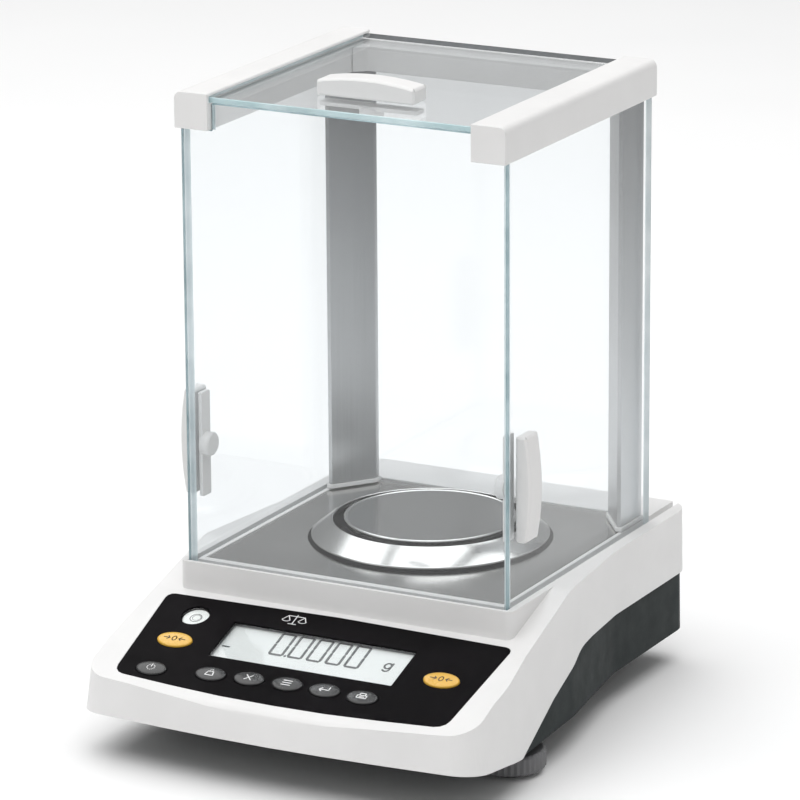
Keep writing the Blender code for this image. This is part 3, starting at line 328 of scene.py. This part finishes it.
def refine(node, width, segments=3, finish=None, angle=38):
    """Stands for a CAD node: the same form with rounded edges and smooth curves."""
    bm = cleaned(node)
    mesh = bpy.data.meshes.new(node + "_form")
    bm.to_mesh(mesh)
    bm.free()
    if width:
        holder = bpy.data.objects.new("holder", mesh)
        bpy.context.scene.collection.objects.link(holder)
        rounding = holder.modifiers.new("rounding", "BEVEL")
        rounding.width = width
        rounding.segments = segments
        rounding.limit_method = "ANGLE"
        rounding.angle_limit = math.radians(angle)
        rounding.use_clamp_overlap = True
        bpy.context.view_layer.update()
        depsgraph = bpy.context.evaluated_depsgraph_get()
        mesh = bpy.data.meshes.new_from_object(holder.evaluated_get(depsgraph))
        bpy.data.objects.remove(holder)
    smooth(mesh)
    made = piece(node + "_skin", mesh, finish or FINISH[SLOT_OF[node]],
                 BODY_OF[node])
    weighting = made.modifiers.new("weighting", "WEIGHTED_NORMAL")
    weighting.keep_sharp = True
    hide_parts(node)
    return made


def mesh_of(name, bm, angle=32):
    bmesh.ops.recalc_face_normals(bm, faces=bm.faces)
    mesh = bpy.data.meshes.new(name)
    bm.to_mesh(mesh)
    bm.free()
    smooth(mesh, angle)
    return mesh


def loft_mesh(name, rings):
    """Closed solid through rings of equal length."""
    bm = bmesh.new()
    loops = [[bm.verts.new(point) for point in ring] for ring in rings]
    count = len(rings[0])
    for lower, upper in zip(loops, loops[1:]):
        for i in range(count):
            j = (i + 1) % count
            bm.faces.new((lower[i], lower[j], upper[j], upper[i]))
    bm.faces.new(loops[0])
    bm.faces.new(loops[-1])
    return mesh_of(name, bm)


def turned_mesh(name, profile, centre, steps=160):
    """Closed profile of (radius, height) turned about the vertical through centre."""
    bm = bmesh.new()
    rings = []
    for radius, height in profile:
        count = 1 if radius < TINY else steps
        rings.append([bm.verts.new((centre[0] + radius * math.cos(2 * math.pi * i / steps),
                                    centre[1] + radius * math.sin(2 * math.pi * i / steps), height))
                      for i in range(count)])
    for ring, following in zip(rings, rings[1:] + rings[:1]):
        if len(ring) == 1 and len(following) == 1:
            continue
        for i in range(steps):
            j = (i + 1) % steps
            corners = []
            for vert in (ring[i % len(ring)], ring[j % len(ring)],
                         following[j % len(following)], following[i % len(following)]):
                if vert not in corners:
                    corners.append(vert)
            bm.faces.new(corners)
    return mesh_of(name, bm, 40)


def arc(centre, radius, start, end, steps):
    """Points on an arc in the (radius, height) plane; angles in degrees."""
    points = []
    for i in range(steps + 1):
        angle = math.radians(start + (end - start) * i / steps)
        points.append((centre[0] + radius * math.cos(angle), centre[1] + radius * math.sin(angle)))
    return points


# ---- the sloping face -----------------------------------------------------------------------
SLOPE_UP = Vector((0, math.cos(SLOPE_ANGLE), math.sin(SLOPE_ANGLE)))
SLOPE_OUT = Vector((0, -math.sin(SLOPE_ANGLE), math.cos(SLOPE_ANGLE)))
PANEL_HEIGHT = max(vertex.co.dot(SLOPE_OUT) for vertex in NODES["control_panel"].data.vertices)
SLOPE_HEIGHT = PANEL_HEIGHT - PANEL_PROUD


def on_slope(x, up, out=0.0):
    """Point on the sloping face: x across, up along the slope, out along its normal."""
    return Vector((x, 0, 0)) + SLOPE_UP * up + SLOPE_OUT * (SLOPE_HEIGHT + out)


def slope_extent(node):
    """Low and high corners (x, up, out) of a node in the frame of the sloping face."""
    points = [vertex.co for vertex in NODES[node].data.vertices]
    spans = []
    for axis, shift in ((Vector((1, 0, 0)), 0), (SLOPE_UP, 0), (SLOPE_OUT, SLOPE_HEIGHT)):
        values = [point.dot(axis) - shift for point in points]
        spans.append((min(values), max(values)))
    return [low for low, _ in spans], [high for _, high in spans]


# From the skirt to the crown of a key: how far in from its outline, how far below its top.
KEY_DOME = ((0.0, 0.9 * MM), (0.12 * MM, 0.6 * MM), (0.4 * MM, 0.36 * MM), (0.9 * MM, 0.22 * MM),
            (2.0 * MM, 0.09 * MM), (3.4 * MM, 0.02 * MM), (4.4 * MM, 0.0))
KEY_STEPS = 72


def dome_key(node):
    """Oval key: straight skirt, rounded rim, gently domed crown."""
    low, high = slope_extent(node)
    x, up = (low[0] + high[0]) / 2, (low[1] + high[1]) / 2
    half_x, half_up = (high[0] - low[0]) / 2, (high[1] - low[1]) / 2
    rings = []
    for inset, out in [(0.0, low[2])] + [(inset, high[2] - drop) for inset, drop in KEY_DOME]:
        ring = []
        for i in range(KEY_STEPS):
            angle = 2 * math.pi * i / KEY_STEPS
            ring.append(on_slope(x + (half_x - inset) * math.cos(angle),
                                 up + (half_up - inset) * math.sin(angle), out))
        rings.append(ring)
    made = piece(node + "_cap", loft_mesh(node + "_cap", rings), FINISH[SLOT_OF[node]],
                 BODY_OF[node])
    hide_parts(node)
    return Vector((x, up, high[2]))


JOINT_STEPS = 10                     # sides of the round joints in a printed line


def ribbon_mesh(name, strokes, width, place):
    """Flat printed lines with round joints; place turns (x, y) into a point."""
    bm = bmesh.new()

    def face(points):
        bm.faces.new([bm.verts.new(place(x, y)) for x, y in points])

    for stroke in strokes:
        for (ax, ay), (bx, by) in zip(stroke, stroke[1:]):
            along = Vector((bx - ax, by - ay))
            if along.length < TINY:
                continue
            side = Vector((-along.y, along.x)).normalized() * (width / 2)
            face(((ax - side.x, ay - side.y), (bx - side.x, by - side.y),
                  (bx + side.x, by + side.y), (ax + side.x, ay + side.y)))
        for x, y in stroke:
            face(oval(x, y, width / 2, width / 2, steps=JOINT_STEPS)[:-1])
    mesh = bpy.data.meshes.new(name)
    bm.to_mesh(mesh)
    bm.free()
    return mesh


def oval(x, y, rx, ry, start=0, end=360, steps=28):
    return [(x + rx * math.cos(math.radians(start + (end - start) * i / steps)),
             y + ry * math.sin(math.radians(start + (end - start) * i / steps))) for i in range(steps + 1)]


# Pictograms, in millimetres about the middle of a key.
PICTOGRAMS = {
    "power": [oval(0, -0.1, 2.0, 2.0, 125, 415), [(0, 0.4), (0, 2.5)]],
    "calibrate": [[(-2.2, -2), (2.2, -2), (1.5, 1), (-1.5, 1), (-2.2, -2)], oval(0, 1.9, 0.8, 0.8)],
    "clear": [[(-1.8, -1.8), (1.8, 1.8)], [(-1.8, 1.8), (1.8, -1.8)]],
    "menu": [[(-2.4, 1.7), (2.4, 1.7)], [(-2.4, 0), (2.4, 0)], [(-2.4, -1.7), (2.4, -1.7)]],
    "enter": [[(2.6, 1.8), (2.6, -0.5), (-2.6, -0.5)], [(-1.2, 0.8), (-2.6, -0.5), (-1.2, -1.8)]],
    "print": [[(-2.6, 0.6), (2.6, 0.6), (2.6, -1.4), (-2.6, -1.4), (-2.6, 0.6)],
              [(-1.5, 0.6), (-1.5, 2.2), (1.5, 2.2), (1.5, 0.6)], [(-1.3, -0.5), (1.3, -0.5)]],
    "tare": [oval(0, 0, 1.1, 1.7), [(-6, 0), (-2.6, 0)], [(-3.8, 1.2), (-2.6, 0), (-3.8, -1.2)],
             [(6, 0), (2.6, 0)], [(3.8, 1.2), (2.6, 0), (3.8, -1.2)]],
}

PICTOGRAM_LINE = 0.55 * MM


def pictogram(node, spot):
    """Print a key's pictogram on its crown."""
    key = "tare" if "tare" in node else node.replace("key_", "")
    strokes = [[(x * MM, y * MM) for x, y in stroke] for stroke in PICTOGRAMS[key]]
    mesh = ribbon_mesh(node + "_mark", strokes, PICTOGRAM_LINE,
                       lambda x, y: on_slope(spot.x + x, spot.y + y, spot.z + PRINT_LIFT))
    piece(node + "_mark", mesh, DARK_INK if key == "tare" else WHITE_INK,
          BODY_OF[node])


# ---- display --------------------------------------------------------------------------------
SEGMENTS = {                    # ends of the seven segments on a digit one unit wide and two high
    "a": ((0, 2), (1, 2)), "b": ((1, 2), (1, 1)), "c": ((1, 1), (1, 0)), "d": ((0, 0), (1, 0)),
    "e": ((0, 1), (0, 0)), "f": ((0, 2), (0, 1)), "g": ((0, 1), (1, 1)),
}
DIGIT_WIDTH = 7.3 * MM
DIGIT_HEIGHT = 17.2 * MM
DIGIT_PITCH = 10.7 * MM
DIGIT_SLANT = -0.02                  # shift in x per unit of height
DIGIT_STROKE = 1.5 * MM
DIGIT_COUNT = 5
FIRST_DIGIT_X = -23.9 * MM           # left edge of the first figure
DIGIT_FOOT_DROP = 2.4 * MM           # foot of the figures below the middle of the window
SEGMENT_GAP = 0.09                   # share of a segment left open at each end
POINT_BEFORE = 1.6 * MM              # decimal point before the second figure
POINT_HEIGHT = 0.1 * MM
UNIT_X, UNIT_RISE = 41 * MM, 3.2 * MM        # bowl of the unit's letter, from the window's middle
UNIT_WIDTH = 1.8 * MM                # half the width of that bowl
UNIT_TAIL = 2.7 * MM                 # depth of the letter's tail
UNIT_LINE = 1.1 * MM
DASH_START, DASH_END = -50.3 * MM, -46.8 * MM


def display_marks():
    """The reading 0.0000 g in seven-segment figures, and the dash at the left."""
    low, high = slope_extent("display_window")
    out = slope_extent("lcd_module")[1][2] + PRINT_LIFT
    middle = (low[1] + high[1]) / 2
    foot = middle - DIGIT_FOOT_DROP
    strokes = []
    x = FIRST_DIGIT_X
    for index in range(DIGIT_COUNT):
        for name in "abcdef":
            (ax, ay), (bx, by) = SEGMENTS[name]
            along = Vector((bx - ax, by - ay))
            gap = along * SEGMENT_GAP
            ends = []
            for px, py in ((ax + gap.x, ay + gap.y), (bx - gap.x, by - gap.y)):
                up = py / 2 * DIGIT_HEIGHT
                ends.append((x + px * DIGIT_WIDTH + up * DIGIT_SLANT, foot + up))
            strokes.append(ends)
        x += DIGIT_PITCH
        if index == 0:
            strokes.append([(x - POINT_BEFORE, foot), (x - POINT_BEFORE, foot + POINT_HEIGHT)])

    def place(a, b):
        return on_slope(a, b, out)

    piece("display_figures", ribbon_mesh("display_figures", strokes, DIGIT_STROKE, place),
          SEGMENT_INK, "base")
    x, up = UNIT_X, middle + UNIT_RISE
    unit = [oval(x, up, UNIT_WIDTH, 2.1 * MM),
            [(x + 2.0 * MM, up + 2.3 * MM), (x + UNIT_WIDTH, up - UNIT_TAIL)],
            oval(x, up - UNIT_TAIL, UNIT_WIDTH, 1.6 * MM, 0, -150, 12),
            [(DASH_START, foot), (DASH_END, foot)]]
    piece("display_unit", ribbon_mesh("display_unit", unit, UNIT_LINE, place),
          SEGMENT_INK, "base")


EMBLEM_X = -22 * MM
EMBLEM_RISE = 9.5 * MM               # middle of the emblem above the display window
EMBLEM_LINE = 0.5 * MM
BEAM_HALF, BEAM_UP, DISH_UP = 4.6, 2.6, -0.8     # scales' beam and dishes, in millimetres


def balance_emblem():
    """A pair of scales, printed above the display."""
    x, up = EMBLEM_X, slope_extent("display_window")[1][1] + EMBLEM_RISE
    strokes = [[(0, -3.6), (0, 3.8)], [(-BEAM_HALF, BEAM_UP), (BEAM_HALF, BEAM_UP)],
               [(-2.2, -3.8), (2.2, -3.8)]]
    for end in (-BEAM_HALF, BEAM_HALF):
        strokes.append([(end, BEAM_UP), (end - 2, DISH_UP)])
        strokes.append([(end, BEAM_UP), (end + 2, DISH_UP)])
        strokes.append(oval(end, DISH_UP, 2.2, 1.3, 180, 360, 12))
    scaled = [[(a * MM, b * MM) for a, b in stroke] for stroke in strokes]
    mesh = ribbon_mesh("emblem", scaled, EMBLEM_LINE,
                       lambda a, b: on_slope(x + a, up + b, PANEL_PROUD + PRINT_LIFT))
    piece("emblem", mesh, WHITE_INK, "base")


LEVEL_BASE_DEPTH = 1.6 * MM          # white disc below the sloping face
LEVEL_MARK_DEPTH = 1.5 * MM          # ring and bubble below the sloping face
LEVEL_RIM = 0.4 * MM                 # wall of the vial round the disc
LEVEL_RING_RADIUS, LEVEL_RING_LINE = 3.1 * MM, 0.35 * MM
BUBBLE_RADIUS, BUBBLE_LINE = 2.2 * MM, 0.25 * MM
BUBBLE_OFFSET = (0.3 * MM, 0.2 * MM)


def level_bubble():
    """White base of the vial with its ring and the bubble."""
    low, high = slope_extent("level_vial")
    x, up = (low[0] + high[0]) / 2, (low[1] + high[1]) / 2
    radius = (high[0] - low[0]) / 2 - LEVEL_RIM
    bm = bmesh.new()
    bm.faces.new([bm.verts.new(on_slope(x + a, up + b, -LEVEL_BASE_DEPTH))
                  for a, b in oval(0, 0, radius, radius)[:-1]])
    piece("level_base", mesh_of("level_base", bm), BUBBLE_WHITE, "base")

    def place(a, b):
        return on_slope(x + a, up + b, -LEVEL_MARK_DEPTH)

    rings = [oval(0, 0, LEVEL_RING_RADIUS, LEVEL_RING_RADIUS)]
    piece("level_ring", ribbon_mesh("level_ring", rings, LEVEL_RING_LINE, place), SEGMENT_INK,
          "base")
    rings = [oval(*BUBBLE_OFFSET, BUBBLE_RADIUS, BUBBLE_RADIUS)]
    piece("level_bubble", ribbon_mesh("level_bubble", rings, BUBBLE_LINE, place),
          FINISH["grey_plastic"], "base")


PORT_MARGIN = (2.6 * MM, 1.5 * MM)   # insulator inside the port's outline, across and up
PORT_LEAN = 0.9 * MM                 # how much the insulator narrows to its foot on each side
PIN_PITCH, PIN_ROW = 2.76 * MM, 1.42 * MM
PIN_SIZE = 0.5 * MM                  # radius of a contact's ring and width of its line


def port_contacts():
    """Dark insulator of the data port with nine contacts in two rows."""
    low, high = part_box("data_port")
    x, z = (low.x + high.x) / 2, (low.z + high.z) / 2
    half_width = (high.x - low.x) / 2 - PORT_MARGIN[0]
    half_height = (high.z - low.z) / 2 - PORT_MARGIN[1]
    foot = half_width - PORT_LEAN
    bm = bmesh.new()
    bm.faces.new([bm.verts.new((x + a, high.y + PRINT_LIFT, z + b)) for a, b in (
        (-half_width, half_height), (half_width, half_height),
        (foot, -half_height), (-foot, -half_height))])
    piece("port_insulator", mesh_of("port_insulator", bm), FINISH["black_rubber"],
          "base")
    pins = [oval((i - (count - 1) / 2) * PIN_PITCH, row, PIN_SIZE, PIN_SIZE, steps=16)
            for count, row in ((5, PIN_ROW), (4, -PIN_ROW)) for i in range(count)]
    mesh = ribbon_mesh("port_pins", pins, PIN_SIZE,
                       lambda a, b: (x + a, high.y + 2 * PRINT_LIFT, z + b))
    piece("port_pins", mesh, FINISH["satin_aluminium"], "base")


# ---- pan, ring and glass --------------------------------------------------------------------
PAN_FACE_DROP = 0.5 * MM             # face of the pan below its lip
PAN_LIP_RADIUS = 0.9 * MM
PAN_SKIRT_WIDTH, PAN_SKIRT_DEPTH = 1.1 * MM, 3.2 * MM
PAN_UNDERSIDE = 1.9 * MM             # underside of the pan below its lip
SOCKET_OUTER, SOCKET_INNER = 8 * MM, 4.4 * MM    # socket under the pan, for the carrier


def fine_pan():
    """Pan with a rolled lip and a slightly sunk face."""
    low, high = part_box("weighing_pan")
    radius = (high.x - low.x) / 2
    top = high.z
    face, foot, under = top - PAN_FACE_DROP, top - PAN_SKIRT_DEPTH, top - PAN_UNDERSIDE
    inside = radius - PAN_SKIRT_WIDTH
    profile = [(0, face), (radius - 3.2 * MM, face), (radius - 2.2 * MM, top - 0.42 * MM)]
    profile += arc((radius - PAN_LIP_RADIUS, top - PAN_LIP_RADIUS), PAN_LIP_RADIUS, 135, 0, 8)
    profile += [(radius, foot), (inside, foot), (inside, under),
                (SOCKET_OUTER, under), (SOCKET_OUTER, low.z),
                (SOCKET_INNER, low.z), (SOCKET_INNER, under), (0, under)]
    made = piece("pan_dish", turned_mesh("pan_dish", profile, PAN_CENTRE), TURNED_STEEL,
                 BODY_OF["weighing_pan"])
    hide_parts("weighing_pan")


RING_WIDTH = 11.6 * MM               # from the outer to the inner edge, seen from above
RING_FOOT_RADIUS, RING_TOP_RADIUS = 0.4 * MM, 0.6 * MM       # of the rolled edges


def fine_ring():
    """Conical shield ring of thin polished sheet with rolled edges."""
    low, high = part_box("shield_ring")
    outer = (high.x - low.x) / 2
    inner = outer - RING_WIDTH
    top = high.z
    profile = [(inner, top - 0.5 * MM), (inner, top - 1.2 * MM),
               (outer - 0.7 * MM, low.z), (outer, low.z)]
    profile += arc((outer - RING_FOOT_RADIUS, low.z + 0.5 * MM), RING_FOOT_RADIUS, 0, 60, 4)
    profile += arc((inner + RING_TOP_RADIUS, top - RING_TOP_RADIUS), RING_TOP_RADIUS, 60, 180, 8)
    made = piece("ring_cone", turned_mesh("ring_cone", profile, PAN_CENTRE), TURNED_STEEL,
                 BODY_OF["shield_ring"])
    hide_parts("shield_ring")


ARRIS_WIDTH = 0.35 * MM
ALONG_FACE = 0.95                    # a face whose normal is nearer than this to the pane's own
ALONG_EDGE = 0.5                     # an edge whose normal is nearer than this to an axis


def fine_pane(node):
    """Pane with ground arrises; its front and side edges take the edge colour, painted darker or lighter
    for each pane as painted shade and painted light, and the top pane's rear edge is painted near black as
    shade; hidden ones stay clear.
    """
    low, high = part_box(node)
    thin = min(range(3), key=lambda axis: high[axis] - low[axis])
    made = refine(node, ARRIS_WIDTH, 1)
    # Edge colour per pane: painted shade on the front pane, painted light on the doors.
    side_edge = {"front_pane": PAINTED_SHADE_EDGE, "top_pane": EDGE_GLASS}.get(node, PAINTED_LIGHT_EDGE)
    # The top pane's rear edge is painted near black as shade.
    rear_edge = {"top_pane": PAINTED_DARK_EDGE}.get(node, PAINTED_LIGHT_EDGE)
    made.data.materials.append(side_edge)
    made.data.materials.append(rear_edge)
    for polygon in made.data.polygons:
        normal = polygon.normal
        if abs(normal[thin]) > ALONG_FACE or normal.z < -ALONG_EDGE or node == "rear_pane":
            polygon.material_index = 0
        else:
            polygon.material_index = 2 if normal.y > ALONG_EDGE else 1


# ---- putting it together --------------------------------------------------------------------
PANES = ("front_pane", "rear_pane", "door_left", "door_right", "top_pane")
ROUNDING = {                    # edge rounding of each node, in millimetres; the rest get the default
    "upper_housing": 1.1, "lower_housing": 0.8, "control_panel": 0.35,
    "rail_left": 2.2, "rail_right": 2.2, "crossbar": 0.7, "column_left": 0.25, "column_right": 0.25,
    "handle_left": 0.9, "handle_right": 0.9, "handle_top": 1.2,
    "handle_clip_left": 0.4, "handle_clip_right": 0.4, "handle_clip_top": 0.4,
    "floor_plate": 0.15, "column_foot_left": 0.3, "column_foot_right": 0.3, "display_window": 0.1,
    "levelling_wheel_left": 0.25, "levelling_wheel_right": 0.25, "level_vial": 0.2,
}
DEFAULT_ROUNDING = 0.3

done = {"weighing_pan", "shield_ring"} | set(PANES)
for node in NODES:
    if node.startswith("key_") and node != "key_board":
        pictogram(node, dome_key(node))
        done.add(node)
for node in PANES:
    fine_pane(node)
fine_pan()
fine_ring()
display_marks()
balance_emblem()
level_bubble()
port_contacts()
for node in NODES:
    if node not in done:
        # The chamber tray takes the black rubber finish as painted shade, darkening the gap between the
        # pan and the ring where shade falls.
        refine(node, ROUNDING.get(node, DEFAULT_ROUNDING) * MM,
               finish=FINISH["black_rubber"] if node == "chamber_tray" else None)


# ---- stage ----------------------------------------------------------------------------------
FLOOR_SIZE = 12                      # half the side of the floor
FLOOR_DROP = 0.05 * MM               # floor below the feet
ROOM_BRIGHT_FROM = (0.5, -0.8, 0.3)  # direction in which the room is brightest
ROOM_DIM, ROOM_BRIGHT = 0.26, 0.54   # strength of its light seen against and along that
TOP_LIGHT_SPOT, TOP_LIGHT_SIZE, TOP_LIGHT_POWER = (-0.3, 0.0, 2.4), (4.0, 4.0), 90
LEFT_LIGHT_SPOT, LEFT_LIGHT_SIZE, LEFT_LIGHT_POWER = (-1.4, -2.2, 0.9), (1.4, 1.2), 3
CAMERA_SPOT = (1.1964, -2.2528, 0.9021)
CAMERA_AZIMUTH, CAMERA_PITCH, CAMERA_ROLL = 27.96, 16.11, -0.37      # degrees
SENSOR_WIDTH, FOCAL_LENGTH = 36, 234.95          # millimetres
CLIP_START, CLIP_END = 0.1, 50


def floor():
    tree = Nodes("floor")
    soft = tree.noise(tree.place(), 3.0, 2.0)
    colour = tree.ramp(soft, ((0.3, (0.90, 0.90, 0.90)), (0.7, (0.92, 0.92, 0.92))))
    finish = tree.principled(Base_Color=colour, Roughness=0.7)
    bm = bmesh.new()
    bmesh.ops.create_grid(bm, x_segments=1, y_segments=1, size=FLOOR_SIZE)
    mesh = bpy.data.meshes.new("floor")
    bm.to_mesh(mesh)
    bm.free()
    mesh.materials.append(finish)
    made = bpy.data.objects.new("floor", mesh)
    bpy.context.scene.collection.objects.link(made)
    made.location.z = -FLOOR_DROP


def area_light(name, spot, target, size, power):
    light = bpy.data.lights.new(name, "AREA")
    light.shape = "RECTANGLE"
    light.size, light.size_y = size
    light.energy = power
    made = bpy.data.objects.new(name, light)
    bpy.context.scene.collection.objects.link(made)
    made.location = spot
    made.rotation_mode = "QUATERNION"
    made.rotation_quaternion = (Vector(target) - Vector(spot)).to_track_quat("-Z", "Y")


def light_scene():
    """Broad soft light from above and the front left, in a pale room that is dimmer at the back left."""
    world = bpy.data.worlds.new("studio")
    bpy.context.scene.world = world
    world.use_nodes = True
    nodes, links = world.node_tree.nodes, world.node_tree.links
    across = nodes.new("ShaderNodeVectorMath")
    across.operation = "DOT_PRODUCT"
    across.inputs[1].default_value = ROOM_BRIGHT_FROM
    links.new(nodes.new("ShaderNodeTexCoord").outputs["Generated"], across.inputs[0])
    fall = nodes.new("ShaderNodeMapRange")
    fall.inputs["From Min"].default_value = -1.0
    fall.inputs["To Min"].default_value = ROOM_DIM
    fall.inputs["To Max"].default_value = ROOM_BRIGHT
    links.new(across.outputs["Value"], fall.inputs["Value"])
    nodes["Background"].inputs["Color"].default_value = (1.0, 1.0, 1.0, 1.0)
    links.new(fall.outputs["Result"], nodes["Background"].inputs["Strength"])
    area_light("top_light", TOP_LIGHT_SPOT, (0, 0, 0), TOP_LIGHT_SIZE, TOP_LIGHT_POWER)
    area_light("left_light", LEFT_LIGHT_SPOT, (0, 0, 0.1), LEFT_LIGHT_SIZE, LEFT_LIGHT_POWER)


def camera():
    """Long lens, from the front right and a little above."""
    azimuth, pitch = math.radians(CAMERA_AZIMUTH), math.radians(CAMERA_PITCH)
    roll = math.radians(CAMERA_ROLL)
    right = Vector((math.cos(azimuth), math.sin(azimuth), 0))
    up = Vector((-math.sin(azimuth) * math.sin(pitch), math.cos(azimuth) * math.sin(pitch),
                 math.cos(pitch)))
    back = right.cross(up)
    turned_right = right * math.cos(roll) + up * math.sin(roll)
    turned_up = up * math.cos(roll) - right * math.sin(roll)
    data = bpy.data.cameras.new("camera")
    data.sensor_width = SENSOR_WIDTH
    data.lens = FOCAL_LENGTH
    data.clip_start, data.clip_end = CLIP_START, CLIP_END
    made = bpy.data.objects.new("camera", data)
    bpy.context.scene.collection.objects.link(made)
    matrix = Matrix((turned_right, turned_up, back)).transposed().to_4x4()
    matrix.translation = Vector(CAMERA_SPOT)
    made.matrix_world = matrix
    bpy.context.scene.camera = made


floor()
light_scene()
camera()
bpy.context.scene.view_settings.view_transform = "Standard"
